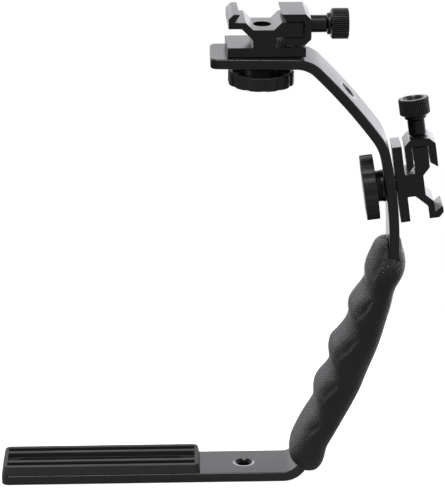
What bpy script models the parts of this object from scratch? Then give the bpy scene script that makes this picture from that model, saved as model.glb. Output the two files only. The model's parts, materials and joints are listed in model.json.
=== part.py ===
# Camera flash bracket.
# A bent flat bar carries a ribbed base pad, a moulded hand grip and two accessory shoes.
# Frame: metres, +Z up. The origin is the middle of the tripod hole, on the underside of the base.
# The base runs along X, with the grip on the +X side, and +Y points away from the hand's front.
import math

import bmesh
import bpy
from mathutils import Vector

MM = 0.001
FULL_TURN = 2 * math.pi
DEG = FULL_TURN / 360

# Clearances shared by all pieces
FACE_GAP = 0.3 * MM
SCREW_PLAY = 0.3 * MM
CUT_OVERRUN = 1.0 * MM
WELD = 0.001 * MM

# Counts of facets
ROUND_STEPS = 32
SCREW_STEPS = 24
HEX_SIDES = 6
BEND_STEP = 5.5 * DEG
LONG_STEP = 6.0 * MM
CORNER_STEPS = 5
RIM_STEPS = 3

# Bar
BAR_WIDTH = 22.5 * MM
BAR_THICK = 4.0 * MM
BAR_EDGE = 0.5 * MM
BAR_CORNER = 3.5 * MM
BASE_LEFT = 98.2 * MM
BASE_RIGHT = 15.7 * MM
HEEL_RADIUS, HEEL_HEADING = 8.7 * MM, 58.1 * DEG
GRIP_RUN_HEADING = 75.3 * DEG
UPRIGHT_RADIUS, UPRIGHT_HEADING = 49.8 * MM, 90.0 * DEG
BOW_RADIUS, BOW_HEADING = 183.0 * MM, 101.7 * DEG
SHOULDER_RADIUS, SHOULDER_HEADING = 21.0 * MM, 125.7 * DEG
SLANT_RADIUS, SLANT_HEADING = 221.0 * MM, 134.9 * DEG
BROW_RADIUS, TOP_HEADING = 12.05 * MM, 178.8 * DEG
TOP_LENGTH = 33.4 * MM
BOW_BEND_COUNT = 3
SLANT_BEND_COUNT = 5

# Threads and holes of the bar
BIG_THREAD = 6.35 * MM
SINK_WIDTH = 0.85 * MM
SLOT_WIDTH = 6.6 * MM
SLOT_LEFT = 92.0 * MM
SLOT_RIGHT = 24.0 * MM
TOP_HOLE_FROM_TIP = 20.0 * MM
SIDE_HOLE_UP_BOW = 22.7 * MM
ARM_HOLE_UP_SLANT = 19.8 * MM

# Base pad
PAD_LEFT = 98.0 * MM
PAD_RIGHT = 17.8 * MM
PAD_HEIGHT = 3.4 * MM
PAD_FOOT_WIDTH = 22.3 * MM
PAD_TOP_WIDTH = 20.9 * MM
PAD_CORNER = 2.8 * MM
PAD_END_RIM = 2.2 * MM
PAD_SIDE_RIM = 2.0 * MM
PAD_RIB = 2.0 * MM
PAD_MID_GROOVE = 7.0 * MM
PAD_GROOVE_DEPTH = 2.2 * MM

# Hand grip, on the run of the bar behind the heel bend
GRIP_START = 7.5 * MM
GRIP_LENGTH = 102.9 * MM
GRIP_TOP_MARGIN = 0.237 * MM
GRIP_DEPTH = 32.0 * MM
GRIP_FINGER_REACH = 12.0 * MM
GRIP_PALM_REACH = 7.4 * MM
GRIP_RING_STEP = 2.3 * MM
GRIP_SECTION_STEPS = 24
GRIP_SQUARENESS = 3.0
# Place along the grip, and reach from the bar's middle, at each crest and hollow of the fingers
GRIP_FINGER_SHARES = ((0.0, 0.29), (0.053, 0.60), (0.160, 0.66), (0.228, 0.615), (0.330, 0.87),
                      (0.416, 0.715), (0.510, 1.0), (0.622, 0.73), (0.690, 0.885), (0.799, 0.625),
                      (0.866, 0.73), (0.954, 0.64), (0.984, 0.54), (1.0, 0.36))
# The same for the palm side: the flare at the heel, the long palm, the bulge under the top
GRIP_PALM_SHARES = ((0.0, 0.43), (0.05, 1.0), (0.13, 0.71), (0.41, 0.76), (0.71, 0.65), (0.82, 0.51),
                    (0.925, 0.77), (0.975, 0.50), (1.0, 0.42))
GRIP_DEPTH_SHARES = ((0.0, 0.80), (0.08, 0.95), (0.35, 1.0), (0.65, 1.0), (0.94, 0.94), (1.0, 0.80))

# Accessory shoe: heights are measured from the bar's outer face, lengths from the mounting screw's axis
SHOE_DEPTH = 18.0 * MM
PLATE_THICK = 3.8 * MM
PLATE_LEFT = 13.8 * MM
PLATE_RIGHT = 16.6 * MM
STEM_LEFT = 4.0 * MM
STEM_RIGHT = 5.0 * MM
FLOOR_RISE = 10.1 * MM
FLOOR_LEFT = 11.2 * MM
FLOOR_WIDTH = 20.0 * MM
TROUGH_DEPTH = 2.95 * MM
TROUGH_HALF = 3.95 * MM
LIP_RISE = 2.9 * MM
LIP_REACH = 1.9 * MM
LIP_EDGE = 0.4 * MM
HOOK_WALL = 2.4 * MM
HOOK_CHAMFER = 1.9 * MM
HOOK_THICK = 2.55 * MM
HOOK_WEB = 4.5 * MM
BLOCK_RIGHT = 15.3 * MM
BLOCK_THICK = 5.9 * MM
SLIDE_GAP = 0.3 * MM
JAW_WALL = 2.9 * MM
JAW_CHAMFER = 2.3 * MM
JAW_PRONG = 2.85 * MM
PRONG_TIP_GAP = 0.85 * MM
PRONG_CHAMFER = 2.2 * MM
TOP_SWIVEL = 2.7 * DEG
SIDE_SWIVEL = -6.0 * DEG

# Clamp: screw, sleeve, washer and knurled knob
CLAMP_THREAD = 4.0 * MM
CLAMP_BITE = 8.3 * MM
SPACER_RADIUS = 3.45 * MM
SPACER_LENGTH = 6.2 * MM
THRUST_RADIUS = 4.3 * MM
THRUST_THICK = 1.2 * MM
KNOB_RADIUS = 6.0 * MM
KNOB_LENGTH = 6.7 * MM
KNOB_ROUND = 1.3 * MM
KNOB_DISH_RADIUS = 3.6 * MM
KNOB_DISH_DEPTH = 0.8 * MM
KNOB_SOCKET = 4.5 * MM

# Mounting hardware on the bar's inner face
WASHER_RADIUS = 6.6 * MM
WASHER_THICK = 1.0 * MM
HUB_RADIUS = 6.15 * MM
HUB_LENGTH = 2.0 * MM
WHEEL_RADIUS = 12.9 * MM
WHEEL_THICK = 4.7 * MM
WHEEL_CHAMFER = 0.6 * MM
FLUTE_COUNT = 12
FLUTE_STEPS = 6
FLUTE_DEPTH = 0.5 * MM
HEX_WIDTH = 11.1 * MM
HEX_HEIGHT = 3.0 * MM
SCREW_TIP_DROP = 0.45 * MM
SCREW_TIP_CHAMFER = 0.6 * MM

# Sizes that follow from the ones above: the bar's run behind the grip is as long as the grip needs
HEEL_RUN = HEEL_RADIUS * HEEL_HEADING
UPRIGHT_RUN = UPRIGHT_RADIUS * (UPRIGHT_HEADING - GRIP_RUN_HEADING)
GRIP_RUN = GRIP_START + GRIP_LENGTH + GRIP_TOP_MARGIN - HEEL_RUN - UPRIGHT_RUN
GRIP_RUN_RADIUS = GRIP_RUN / (GRIP_RUN_HEADING - HEEL_HEADING)
BENDS = ((HEEL_RADIUS, HEEL_HEADING), (GRIP_RUN_RADIUS, GRIP_RUN_HEADING), (UPRIGHT_RADIUS, UPRIGHT_HEADING),
         (BOW_RADIUS, BOW_HEADING), (SHOULDER_RADIUS, SHOULDER_HEADING), (SLANT_RADIUS, SLANT_HEADING),
         (BROW_RADIUS, TOP_HEADING))
BIG_BORE = BIG_THREAD / 2 + SCREW_PLAY
CLAMP_BORE = CLAMP_THREAD / 2 + SCREW_PLAY
PLATE_TOP = FACE_GAP + PLATE_THICK
FLOOR = PLATE_TOP + FLOOR_RISE
TROUGH = FLOOR - TROUGH_DEPTH
BLOCK_BOTTOM = FLOOR - BLOCK_THICK
CLAMP_HEIGHT = (FLOOR + BLOCK_BOTTOM) / 2
JAW_RIGHT = BLOCK_RIGHT + SLIDE_GAP + JAW_WALL


# Run of the bar's middle line
def bend_end_station(count):
    """Station, from the tripod hole, at which the given number of bends is complete."""
    station, heading = BASE_RIGHT, 0
    for radius, far_heading in BENDS[:count]:
        station += radius * (far_heading - heading)
        heading = far_heading
    return station


def bar_spot(station):
    """Point and heading of the bar's middle line at a distance along it from the tripod hole."""
    point, heading = Vector((min(station, BASE_RIGHT), 0, BAR_THICK / 2)), 0
    left = station - BASE_RIGHT
    for radius, far_heading in BENDS:
        if left <= 0:
            return point, heading
        turn = min(left / radius, far_heading - heading)
        centre = point + radius * inward(heading)
        heading += turn
        left -= turn * radius
        point = centre - radius * inward(heading)
    return point + max(left, 0) * forward(heading), heading


def forward(heading):
    return Vector((math.cos(heading), 0, math.sin(heading)))


def inward(heading):
    return Vector((-math.sin(heading), 0, math.cos(heading)))


def bar_stations(start, stop):
    """Stations between two ends, close together where the bar bends."""
    stations = [start]
    station, heading = BASE_RIGHT, 0
    marks = [station]
    for radius, far_heading in BENDS:
        turn = far_heading - heading
        count = max(math.ceil(turn / BEND_STEP), math.ceil(turn * radius / LONG_STEP))
        marks += [station + radius * turn * step / count for step in range(1, count + 1)]
        station, heading = station + radius * turn, far_heading
    stations += [mark for mark in marks if start + WELD < mark < stop - WELD]
    return stations + [stop]


def bar_section(station, half_width, half_thick, edge):
    """Chamfered rectangle square to the bar's middle line."""
    point, heading = bar_spot(station)
    shares = ((-1, -1, 1, 0), (-1, -1, 0, 1), (-1, 1, 0, 1), (-1, 1, 1, 0),
              (1, 1, 1, 0), (1, 1, 0, 1), (1, -1, 0, 1), (1, -1, 1, 0))
    ring = []
    for side, face, trim_width, trim_thick in shares:
        across = side * (half_width - edge * trim_width)
        out = face * (half_thick - edge * trim_thick)
        ring.append(point + Vector((0, across, 0)) + out * inward(heading))
    return ring


# Shape makers
def ring_points(count, radius, along):
    return [(radius * math.cos(FULL_TURN * step / count), radius * math.sin(FULL_TURN * step / count), along)
            for step in range(count)]


def finish_mesh(shape, name):
    bmesh.ops.remove_doubles(shape, verts=shape.verts, dist=WELD)
    bmesh.ops.recalc_face_normals(shape, faces=shape.faces)
    mesh = bpy.data.meshes.new(name)
    shape.to_mesh(mesh)
    shape.free()
    mesh.shade_smooth()
    mesh.set_sharp_from_angle(angle=28 * DEG)
    return mesh


def loft_mesh(name, rings):
    """Skin over rings of equal counts of points, closed by a flat face at each end."""
    shape = bmesh.new()
    rows = [[shape.verts.new(point) for point in ring] for ring in rings]
    for row, next_row in zip(rows, rows[1:]):
        for here in range(len(row)):
            ahead = (here + 1) % len(row)
            shape.faces.new((row[here], row[ahead], next_row[ahead], next_row[here]))
    shape.faces.new(rows[0])
    shape.faces.new(rows[-1])
    return finish_mesh(shape, name)


def turned_mesh(name, profile, steps=ROUND_STEPS):
    """Profile of (distance along Z, radius), closed on itself or on the axis, turned round Z."""
    shape = bmesh.new()
    points = [shape.verts.new((radius, 0, along)) for along, radius in profile]
    ends = zip(points, points[1:])
    edges = [shape.edges.new(pair) for pair in ends]
    if profile[0][1] > 0:
        edges.append(shape.edges.new((points[-1], points[0])))
    bmesh.ops.spin(shape, geom=points + edges, axis=(0, 0, 1), cent=(0, 0, 0), angle=FULL_TURN, steps=steps,
                   use_merge=True)
    return finish_mesh(shape, name)


def prism_mesh(name, outline, depth):
    """Outline in the XZ plane, extruded to equal depths on both sides of it."""
    shape = bmesh.new()
    face = shape.faces.new([shape.verts.new((along, -depth / 2, height)) for along, height in outline])
    grown = bmesh.ops.extrude_face_region(shape, geom=[face])["geom"]
    far_side = [item for item in grown if isinstance(item, bmesh.types.BMVert)]
    bmesh.ops.translate(shape, vec=(0, depth, 0), verts=far_side)
    return finish_mesh(shape, name)


def rod_profile(start, stop, radius):
    return ((start, 0), (start, radius), (stop, radius), (stop, 0))


def sleeve_profile(start, stop, bore, radius):
    return ((start, bore), (start, radius), (stop, radius), (stop, bore))


def slot_mesh(name, low, high):
    """Cutter for the camera slot, an oblong with round ends, between two heights."""
    count = ROUND_STEPS // 2
    radius = SLOT_WIDTH / 2
    outline = []
    for middle, first_share in ((-SLOT_RIGHT - radius, -0.25), (radius - SLOT_LEFT, 0.25)):
        for step in range(count + 1):
            angle = FULL_TURN * (first_share + 0.5 * step / count)
            outline.append((middle + radius * math.cos(angle), radius * math.sin(angle)))
    return loft_mesh(name, [[(x, y, height) for x, y in outline] for height in (low, high)])


def corner_ring(left, right, half_width, corner, height):
    """Rectangle with round corners, in a level plane."""
    ring = []
    corners = ((right - corner, half_width - corner, 0), (left + corner, half_width - corner, 0.25),
               (left + corner, corner - half_width, 0.5), (right - corner, corner - half_width, 0.75))
    for x, y, first_share in corners:
        for step in range(CORNER_STEPS + 1):
            angle = FULL_TURN * (first_share + 0.25 * step / CORNER_STEPS)
            ring.append((x + corner * math.cos(angle), y + corner * math.sin(angle), height))
    return ring


# Objects, materials and cuts
def make_material(name, colour, roughness, metallic):
    material = bpy.data.materials.new(name)
    material.use_nodes = True
    shader = material.node_tree.nodes["Principled BSDF"]
    shader.inputs["Base Color"].default_value = (*colour, 1)
    shader.inputs["Roughness"].default_value = roughness
    shader.inputs["Metallic"].default_value = metallic
    return material


def add_piece(mesh, finish, parent=None, location=(0, 0, 0), rotation=(0, 0, 0)):
    """One sub-part, named after its mesh, with its own copy of a finish."""
    piece = bpy.data.objects.new(mesh.name, mesh)
    bpy.context.scene.collection.objects.link(piece)
    piece.parent = parent
    piece.location = location
    piece.rotation_euler = rotation
    mesh.materials.append(make_material(mesh.name + "_finish", *finish))
    return piece


def cut_with(piece, mesh, location=(0, 0, 0), rotation=(0, 0, 0)):
    """Takes a hidden cutter's shape, placed as the piece is, out of the piece."""
    cutter = bpy.data.objects.new(mesh.name, mesh)
    bpy.context.scene.collection.objects.link(cutter)
    cutter.parent = piece
    cutter.location = location
    cutter.rotation_euler = rotation
    cutter.hide_render = True
    cutter.display_type = "WIRE"
    boolean = piece.modifiers.new(mesh.name, "BOOLEAN")
    boolean.operation = "DIFFERENCE"
    boolean.solver = "EXACT"
    boolean.object = cutter


def add_empty(name, location, rotation, parent=None):
    empty = bpy.data.objects.new(name, None)
    empty.empty_display_size = BAR_WIDTH / 2
    bpy.context.scene.collection.objects.link(empty)
    empty.parent = parent
    empty.location = location
    empty.rotation_euler = rotation
    return empty


BLACK_COAT = ((0.012, 0.012, 0.013), 0.32, 0.0)
BLACK_RUBBER = ((0.016, 0.016, 0.017), 0.62, 0.0)
BLACK_PLASTIC = ((0.013, 0.013, 0.014), 0.42, 0.0)
DARK_STEEL = ((0.32, 0.32, 0.33), 0.34, 1.0)


# Bar
def bar_hole_mesh(name, bore, sink):
    """Cutter for a hole through the bar along Z, with a chamfered rim of the given width on both faces."""
    half, reach = BAR_THICK / 2, BAR_THICK / 2 + CUT_OVERRUN
    rim = bore + sink + CUT_OVERRUN
    if sink == 0:
        return turned_mesh(name, rod_profile(-reach, reach, bore))
    return turned_mesh(name, ((-reach, 0), (-reach, rim), (sink - half, bore), (half - sink, bore),
                              (reach, rim), (reach, 0)))


def make_bar():
    tip = bend_end_station(len(BENDS)) + TOP_LENGTH
    corner_steps = [BAR_CORNER * (1 - math.cos(FULL_TURN / 4 * step / CORNER_STEPS))
                    for step in range(CORNER_STEPS)]
    stations = ([step - BASE_LEFT for step in corner_steps]
                + bar_stations(BAR_CORNER - BASE_LEFT, tip - BAR_CORNER)
                + [tip - step for step in reversed(corner_steps)])
    rings = []
    for station in stations:
        inset = min(station + BASE_LEFT, tip - station, BAR_CORNER)
        trim = BAR_CORNER - math.sqrt(max(BAR_CORNER ** 2 - (BAR_CORNER - inset) ** 2, 0))
        rings.append(bar_section(station, BAR_WIDTH / 2 - trim, BAR_THICK / 2, BAR_EDGE))
    bar = add_piece(loft_mesh("bracket_bar", rings), BLACK_COAT)

    thread = BIG_THREAD / 2
    holes = (("tripod_hole", 0, thread, SINK_WIDTH),
             ("side_hole", bend_end_station(BOW_BEND_COUNT) + SIDE_HOLE_UP_BOW, BIG_BORE, 0),
             ("arm_hole", bend_end_station(SLANT_BEND_COUNT) + ARM_HOLE_UP_SLANT, thread, SINK_WIDTH),
             ("top_hole", tip - TOP_HOLE_FROM_TIP, BIG_BORE, 0))
    for name, station, bore, sink in holes:
        point, heading = bar_spot(station)
        cut_with(bar, bar_hole_mesh(name + "_cutter", bore, sink), point, (0, -heading, 0))
    cut_with(bar, slot_mesh("bar_slot_cutter", -CUT_OVERRUN, BAR_THICK + CUT_OVERRUN))
    return bar


# Base pad
def make_pad():
    low = BAR_THICK + FACE_GAP
    high = low + PAD_HEIGHT
    draft = (PAD_FOOT_WIDTH - PAD_TOP_WIDTH) / 2
    walls = [corner_ring(trim - PAD_LEFT, -PAD_RIGHT - trim, PAD_FOOT_WIDTH / 2 - trim, PAD_CORNER - trim,
                         height)
             for height, trim in ((low, 0), (high, draft))]
    pad = add_piece(loft_mesh("base_pad", walls), BLACK_RUBBER)

    left = PAD_END_RIM - PAD_LEFT
    right = -PAD_RIGHT - PAD_END_RIM
    outer_edge = PAD_TOP_WIDTH / 2 - PAD_SIDE_RIM
    inner_edge = PAD_MID_GROOVE / 2 + PAD_RIB
    grooves = (("front_groove_cutter", -outer_edge, -inner_edge),
               ("middle_groove_cutter", -PAD_MID_GROOVE / 2, PAD_MID_GROOVE / 2),
               ("back_groove_cutter", inner_edge, outer_edge))
    for name, front, back in grooves:
        rings = [[(left, front, height), (right, front, height), (right, back, height), (left, back, height)]
                 for height in (high - PAD_GROOVE_DEPTH, high + CUT_OVERRUN)]
        cut_with(pad, loft_mesh(name, rings))
    cut_with(pad, slot_mesh("pad_slot_cutter", BAR_THICK - CUT_OVERRUN, high + CUT_OVERRUN))
    return pad


# Hand grip
def share_at(place, shares):
    """Value of a table of shares at a place, running smoothly from each point to the next."""
    for (start, first), (stop, last) in zip(shares, shares[1:]):
        if place <= stop:
            blend = (1 - math.cos(math.pi * (place - start) / (stop - start))) / 2
            return first + (last - first) * blend
    return shares[-1][1]


def grip_section(place):
    """Rounded oblong round the bar, reaching further on the finger side than on the palm side."""
    point, heading = bar_spot(BASE_RIGHT + GRIP_START + GRIP_LENGTH * place)
    finger = GRIP_FINGER_REACH * share_at(place, GRIP_FINGER_SHARES)
    palm = GRIP_PALM_REACH * share_at(place, GRIP_PALM_SHARES)
    half_depth = GRIP_DEPTH / 2 * share_at(place, GRIP_DEPTH_SHARES)
    ring = []
    for step in range(GRIP_SECTION_STEPS):
        angle = FULL_TURN * step / GRIP_SECTION_STEPS
        across = math.copysign(abs(math.sin(angle)) ** (2 / GRIP_SQUARENESS), math.sin(angle))
        out = math.copysign(abs(math.cos(angle)) ** (2 / GRIP_SQUARENESS), math.cos(angle))
        reach = (finger - palm) / 2 + out * (finger + palm) / 2
        ring.append(point + Vector((0, across * half_depth, 0)) + reach * inward(heading))
    return ring


def make_grip():
    count = math.ceil(GRIP_LENGTH / GRIP_RING_STEP)
    end_shares = (0.004, 0.012)
    places = sorted([step / count for step in range(count + 1)] + [share for share in end_shares]
                    + [1 - share for share in end_shares])
    grip = add_piece(loft_mesh("hand_grip", [grip_section(place) for place in places]), BLACK_RUBBER)
    start = BASE_RIGHT + GRIP_START - CUT_OVERRUN
    passage = [bar_section(station, BAR_WIDTH / 2 + FACE_GAP, BAR_THICK / 2 + FACE_GAP, BAR_EDGE)
               for station in bar_stations(start, start + GRIP_LENGTH + 2 * CUT_OVERRUN)]
    cut_with(grip, loft_mesh("grip_passage_cutter", passage))
    return grip


# Accessory shoe
def shoe_outline():
    """Side view of the plate, stem, fixed hook, trough and clamp block."""
    underside = FLOOR - HOOK_THICK
    lip = FLOOR + LIP_RISE
    hook_left = FLOOR_LEFT + HOOK_WALL
    return ((-PLATE_LEFT, FACE_GAP), (PLATE_RIGHT, FACE_GAP), (PLATE_RIGHT, PLATE_TOP),
            (STEM_RIGHT, PLATE_TOP), (STEM_RIGHT, BLOCK_BOTTOM), (BLOCK_RIGHT, BLOCK_BOTTOM),
            (BLOCK_RIGHT, FLOOR), (TROUGH_HALF + TROUGH_DEPTH, FLOOR), (TROUGH_HALF, TROUGH),
            (-TROUGH_HALF, TROUGH),
            (-TROUGH_HALF - TROUGH_DEPTH, FLOOR), (-FLOOR_LEFT, FLOOR), (LIP_REACH - FLOOR_LEFT, lip),
            (LIP_REACH - FLOOR_LEFT, lip + LIP_EDGE), (HOOK_CHAMFER - hook_left, lip + LIP_EDGE),
            (-hook_left, lip + LIP_EDGE - HOOK_CHAMFER), (-hook_left, underside),
            (-STEM_LEFT - HOOK_WEB, underside), (-STEM_LEFT, underside - HOOK_WEB), (-STEM_LEFT, PLATE_TOP),
            (-PLATE_LEFT, PLATE_TOP))


def jaw_outline():
    """Side view of the jaw that wraps the clamp block."""
    root = FLOOR_WIDTH - FLOOR_LEFT
    arm = FLOOR + SLIDE_GAP
    top = FLOOR + LIP_RISE + LIP_EDGE
    inner = BLOCK_RIGHT + SLIDE_GAP
    prong_top = BLOCK_BOTTOM - SLIDE_GAP
    prong_low = prong_top - JAW_PRONG
    tip = STEM_RIGHT + PRONG_TIP_GAP
    return ((root - LIP_REACH, top), (JAW_RIGHT - JAW_CHAMFER, top), (JAW_RIGHT, top - JAW_CHAMFER),
            (JAW_RIGHT, prong_low + JAW_CHAMFER), (JAW_RIGHT - JAW_CHAMFER, prong_low), (tip, prong_low),
            (tip, prong_top - PRONG_CHAMFER), (tip + PRONG_CHAMFER, prong_top), (inner, prong_top),
            (inner, arm), (root, arm), (root - LIP_REACH, top - LIP_EDGE))


def round_rim(start, stop, radius, rounding, dish_radius, dish_depth):
    """Half-section of a knob whose outer rim is rounded and whose face is dished."""
    profile = [(start, 0), (start, radius)]
    for step in range(RIM_STEPS + 1):
        angle = FULL_TURN / 4 * step / RIM_STEPS
        profile.append((stop - rounding + rounding * math.sin(angle),
                        radius - rounding + rounding * math.cos(angle)))
    floor = stop - dish_depth
    return profile + [(stop, dish_radius), (floor, dish_radius - dish_depth), (floor, 0)]


def make_clamp(prefix, swivel):
    """Jaw, sleeve, washer, knob and screw on the clamp's axis, which runs along the plate."""
    along_plate = (0, FULL_TURN / 4, 0)
    axis_place = (0, 0, CLAMP_HEIGHT)
    jaw = add_piece(prism_mesh(prefix + "_clamp_jaw", jaw_outline(), SHOE_DEPTH), BLACK_COAT, swivel)
    bore_start = BLOCK_RIGHT - CUT_OVERRUN
    bore = rod_profile(bore_start, JAW_RIGHT + CUT_OVERRUN, CLAMP_BORE)
    cut_with(jaw, turned_mesh(prefix + "_jaw_bore_cutter", bore), axis_place, along_plate)

    spacer_start = JAW_RIGHT + FACE_GAP
    thrust_start = spacer_start + SPACER_LENGTH + FACE_GAP
    knob_start = thrust_start + THRUST_THICK + FACE_GAP
    spacer = sleeve_profile(spacer_start, spacer_start + SPACER_LENGTH, CLAMP_BORE, SPACER_RADIUS)
    add_piece(turned_mesh(prefix + "_jaw_spacer", spacer), BLACK_COAT, swivel, axis_place, along_plate)
    thrust = sleeve_profile(thrust_start, thrust_start + THRUST_THICK, CLAMP_BORE, THRUST_RADIUS)
    add_piece(turned_mesh(prefix + "_thrust_washer", thrust), DARK_STEEL, swivel, axis_place, along_plate)

    rim = round_rim(knob_start, knob_start + KNOB_LENGTH, KNOB_RADIUS, KNOB_ROUND, KNOB_DISH_RADIUS,
                    KNOB_DISH_DEPTH)
    knob = add_piece(turned_mesh(prefix + "_clamp_knob", rim), BLACK_PLASTIC, swivel, axis_place, along_plate)
    socket = rod_profile(knob_start - CUT_OVERRUN, knob_start + KNOB_SOCKET, CLAMP_BORE)
    cut_with(knob, turned_mesh(prefix + "_knob_socket_cutter", socket))
    screw_start = BLOCK_RIGHT - CLAMP_BITE + FACE_GAP
    screw = rod_profile(screw_start, knob_start + KNOB_SOCKET - FACE_GAP, CLAMP_THREAD / 2)
    add_piece(turned_mesh(prefix + "_clamp_screw", screw), DARK_STEEL, swivel, axis_place, along_plate)


def make_shoe_body(prefix, swivel):
    body = add_piece(prism_mesh(prefix + "_shoe_body", shoe_outline(), SHOE_DEPTH), BLACK_COAT, swivel)
    stem_bore = rod_profile(-CUT_OVERRUN, FLOOR, BIG_BORE)
    cut_with(body, turned_mesh(prefix + "_stem_bore_cutter", stem_bore))
    clamp_bore = rod_profile(BLOCK_RIGHT - CLAMP_BITE, BLOCK_RIGHT + CUT_OVERRUN, CLAMP_BORE)
    cut_with(body, turned_mesh(prefix + "_block_bore_cutter", clamp_bore), (0, 0, CLAMP_HEIGHT),
             (0, FULL_TURN / 4, 0))
    return body


def fluted_ring(radius, along, flute):
    """Circle with shallow hollows round it."""
    count = FLUTE_COUNT * FLUTE_STEPS
    ring = []
    for step in range(count):
        angle = FULL_TURN * step / count
        hollow = flute * (1 - math.cos(FLUTE_COUNT * angle)) / 2
        ring.append(((radius - hollow) * math.cos(angle), (radius - hollow) * math.sin(angle), along))
    return ring


def make_mount(prefix, swivel, sag):
    """Washer, fluted wheel and hex screw on the bar's inner face, along the mounting axis."""
    inner_side = (FULL_TURN / 2, 0, 0)
    washer_start = BAR_THICK + sag + FACE_GAP
    hub_start = washer_start + WASHER_THICK + FACE_GAP
    wheel_start = hub_start + HUB_LENGTH
    wheel_stop = wheel_start + WHEEL_THICK
    washer = sleeve_profile(washer_start, washer_start + WASHER_THICK, BIG_BORE, WASHER_RADIUS)
    add_piece(turned_mesh(prefix + "_mount_washer", washer), DARK_STEEL, swivel, rotation=inner_side)

    count = FLUTE_COUNT * FLUTE_STEPS
    rim = WHEEL_RADIUS - WHEEL_CHAMFER
    rings = [ring_points(count, HUB_RADIUS, hub_start), ring_points(count, HUB_RADIUS, wheel_start),
             fluted_ring(rim, wheel_start, FLUTE_DEPTH),
             fluted_ring(WHEEL_RADIUS, wheel_start + WHEEL_CHAMFER, FLUTE_DEPTH),
             fluted_ring(WHEEL_RADIUS, wheel_stop - WHEEL_CHAMFER, FLUTE_DEPTH),
             fluted_ring(rim, wheel_stop, FLUTE_DEPTH)]
    wheel = add_piece(loft_mesh(prefix + "_mount_wheel", rings), BLACK_PLASTIC, swivel, rotation=inner_side)
    bore = rod_profile(hub_start - CUT_OVERRUN, wheel_stop + CUT_OVERRUN, BIG_BORE)
    cut_with(wheel, turned_mesh(prefix + "_wheel_bore_cutter", bore))

    hex_corner = HEX_WIDTH / 2 / math.cos(FULL_TURN / HEX_SIDES / 2)
    head_start = wheel_stop - HEX_HEIGHT
    pocket_corner = hex_corner + SCREW_PLAY
    pocket = [ring_points(HEX_SIDES, pocket_corner, along)
              for along in (head_start - FACE_GAP, wheel_stop + CUT_OVERRUN)]
    cut_with(wheel, loft_mesh(prefix + "_hex_pocket_cutter", pocket))

    tip = -(TROUGH - SCREW_TIP_DROP)
    shank = BIG_THREAD / 2
    neck = [ring_points(SCREW_STEPS, shank - SCREW_TIP_CHAMFER, tip),
            ring_points(SCREW_STEPS, shank, tip + SCREW_TIP_CHAMFER),
            ring_points(SCREW_STEPS, shank, head_start)]
    head = [hex_ring(hex_corner, head_start), hex_ring(hex_corner, wheel_stop)]
    add_piece(loft_mesh(prefix + "_mount_screw", neck + head), DARK_STEEL, swivel, rotation=inner_side)


def hex_ring(corner, along):
    """Points round a hexagon, some on its corners, as many as the screw's shank has."""
    ring = []
    side_turn = FULL_TURN / HEX_SIDES
    flat = corner * math.cos(side_turn / 2)
    for step in range(SCREW_STEPS):
        angle = FULL_TURN * step / SCREW_STEPS
        from_flat = angle % side_turn - side_turn / 2
        reach = flat / math.cos(from_flat)
        ring.append((reach * math.cos(angle), reach * math.sin(angle), along))
    return ring


def make_shoe(prefix, station, facing, swivel_angle, sag):
    """A shoe and its hardware; facing is 1 where the knob points along the bar's run and -1 against it."""
    point, heading = bar_spot(station)
    outer_face = point - BAR_THICK / 2 * inward(heading)
    if facing > 0:
        rotation = (FULL_TURN / 2, -heading, 0)
    else:
        rotation = (0, FULL_TURN / 2 - heading, 0)
    seat = add_empty(prefix + "_shoe_seat", outer_face, rotation)
    swivel = add_empty(prefix + "_shoe_swivel", (0, 0, 0), (0, 0, swivel_angle), seat)
    make_shoe_body(prefix, swivel)
    make_clamp(prefix, swivel)
    make_mount(prefix, swivel, sag)


def main():
    for item in list(bpy.data.objects):
        bpy.data.objects.remove(item, do_unlink=True)
    make_bar()
    make_pad()
    make_grip()
    tip = bend_end_station(len(BENDS)) + TOP_LENGTH
    make_shoe("top", tip - TOP_HOLE_FROM_TIP, -1, TOP_SWIVEL, 0)
    hollow_radius = BOW_RADIUS - BAR_THICK / 2
    bow_sag = hollow_radius - math.sqrt(hollow_radius ** 2 - WASHER_RADIUS ** 2)
    side_hole = bend_end_station(BOW_BEND_COUNT) + SIDE_HOLE_UP_BOW
    make_shoe("side", side_hole, 1, SIDE_SWIVEL, bow_sag)


main()
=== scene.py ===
# Camera flash bracket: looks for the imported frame. Sizes in the dictionaries are in millimetres.
import json
import math

import bmesh
import bpy
from mathutils import Matrix, Vector


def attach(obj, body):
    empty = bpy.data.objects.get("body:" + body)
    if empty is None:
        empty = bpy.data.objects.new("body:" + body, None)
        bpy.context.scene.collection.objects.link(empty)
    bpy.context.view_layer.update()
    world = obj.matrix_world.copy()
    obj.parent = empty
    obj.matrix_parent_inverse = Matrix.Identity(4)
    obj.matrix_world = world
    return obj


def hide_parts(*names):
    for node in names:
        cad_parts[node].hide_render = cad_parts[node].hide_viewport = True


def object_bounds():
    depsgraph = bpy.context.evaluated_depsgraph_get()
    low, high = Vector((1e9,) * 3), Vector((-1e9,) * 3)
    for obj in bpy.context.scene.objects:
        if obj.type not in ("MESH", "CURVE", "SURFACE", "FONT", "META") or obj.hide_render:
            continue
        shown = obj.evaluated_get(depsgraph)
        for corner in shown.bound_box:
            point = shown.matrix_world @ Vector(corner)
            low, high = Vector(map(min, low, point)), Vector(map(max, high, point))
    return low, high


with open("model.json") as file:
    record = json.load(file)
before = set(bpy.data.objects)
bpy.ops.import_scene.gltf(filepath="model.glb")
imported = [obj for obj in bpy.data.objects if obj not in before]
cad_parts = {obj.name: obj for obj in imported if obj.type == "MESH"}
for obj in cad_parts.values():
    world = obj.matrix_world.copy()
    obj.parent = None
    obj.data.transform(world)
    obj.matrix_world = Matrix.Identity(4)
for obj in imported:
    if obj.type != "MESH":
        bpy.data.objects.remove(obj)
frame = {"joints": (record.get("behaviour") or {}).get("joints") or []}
cadLow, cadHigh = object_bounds()
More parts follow.
